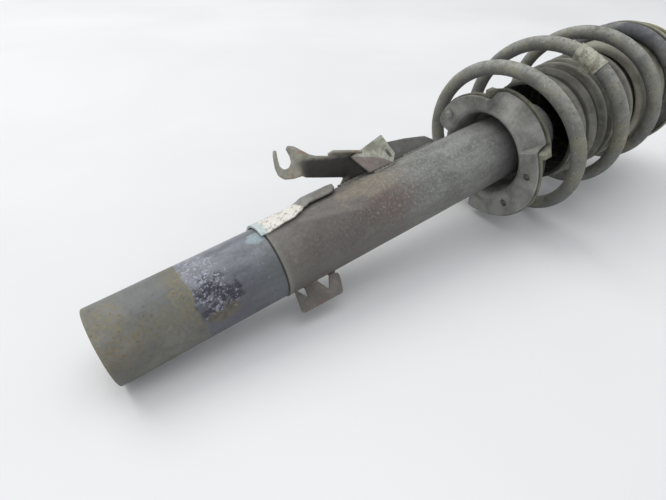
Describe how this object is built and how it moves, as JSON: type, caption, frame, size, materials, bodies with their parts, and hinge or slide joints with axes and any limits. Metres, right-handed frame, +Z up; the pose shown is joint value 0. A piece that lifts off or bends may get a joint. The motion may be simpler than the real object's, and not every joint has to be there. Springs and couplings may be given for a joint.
{
  "type": "suspension strut assembly",
  "caption": "Telescopic suspension strut with coil spring, stamped seats, hose bracket, bellows boot and a swivelling top mount; the rod strokes against the spring.",
  "frame": {"origin": "centre of the flat lower end face of the damper tube", "axes": "+X along the damper axis from the lower end to the top mount, +Z up as the strut lies on its side, +Y across"},
  "size_m": [0.614, 0.1546, 0.155],
  "materials": {
    "worn_steel": "dirty bare and thinly painted steel, ochre rust stains",
    "painted_steel": "grey-olive paint under road dust",
    "bracket_steel": "dusty chipped paint over steel",
    "spring_steel": "coated spring steel under road dust",
    "rubber": "matt black",
    "boot_rubber": "dusty moulded rubber",
    "foam": "closed-cell polyurethane foam",
    "chrome": "hard chrome",
    "bright_steel": "machined steel",
    "zinc": "yellow zinc plate",
    "polymer": "moulded nylon",
    "tag_vinyl": "dirty vinyl tape, blank"
  },
  "bodies": {
    "damper_body": {"damper_tube": "worn_steel", "base_cup": "worn_steel", "base_valve": "bright_steel", "pressure_tube": "bright_steel", "rod_guide": "bright_steel", "rod_seal": "rubber", "locating_plate": "bracket_steel", "hose_bracket": "bracket_steel", "bracket_gusset": "bracket_steel", "bracket_back_plate": "bracket_steel", "sensor_clip": "bracket_steel", "lower_spring_seat": "painted_steel", "lower_spring_pad": "rubber", "coil_spring": "spring_steel", "spring_tag": "tag_vinyl"},
    "upper_seat": {"upper_spring_seat": "painted_steel", "upper_spring_pad": "rubber", "dust_boot": "boot_rubber", "bump_stop": "foam", "bearing_lower_race": "bright_steel"},
    "top_mount": {"bearing_upper_race": "bright_steel", "mount_plate": "painted_steel", "mount_stud_1": "zinc", "mount_stud_2": "zinc", "mount_stud_3": "zinc", "mount_rubber": "rubber", "mount_core": "bright_steel", "rod_washer": "zinc", "rod_nut": "zinc", "piston_rod": "chrome", "piston": "bright_steel", "piston_ring": "polymer", "piston_nut": "bright_steel", "rebound_stop": "polymer"},
    "bearing_rolling": {"bearing_cage": "polymer", "bearing_ball_1": "bright_steel", "bearing_ball_2": "bright_steel", "bearing_ball_3": "bright_steel", "bearing_ball_4": "bright_steel", "bearing_ball_5": "bright_steel", "bearing_ball_6": "bright_steel", "bearing_ball_7": "bright_steel", "bearing_ball_8": "bright_steel"}
  },
  "joints": [
    {"name": "damper_stroke", "type": "slide", "parent": "damper_body", "child": "upper_seat", "axis": [1, 0, 0], "range_m": [-0.09, 0], "stiffness_N_per_m": 20000, "springref_m": 0.02, "deforming": ["coil_spring", "spring_tag", "dust_boot"]},
    {"name": "steer_swivel", "type": "hinge", "parent": "upper_seat", "child": "top_mount", "pos_m": [0.5675, 0, 0], "axis": [1, 0, 0], "range_deg": [-45, 45]},
    {"name": "bearing_roll", "type": "hinge", "parent": "upper_seat", "child": "bearing_rolling", "pos_m": [0.5604, 0, 0], "axis": [1, 0, 0], "range_deg": [-22.5, 22.5]}
  ],
  "couplings": [
    {"joint": "bearing_roll", "follows": "steer_swivel", "ratio": 0.5}
  ]
}
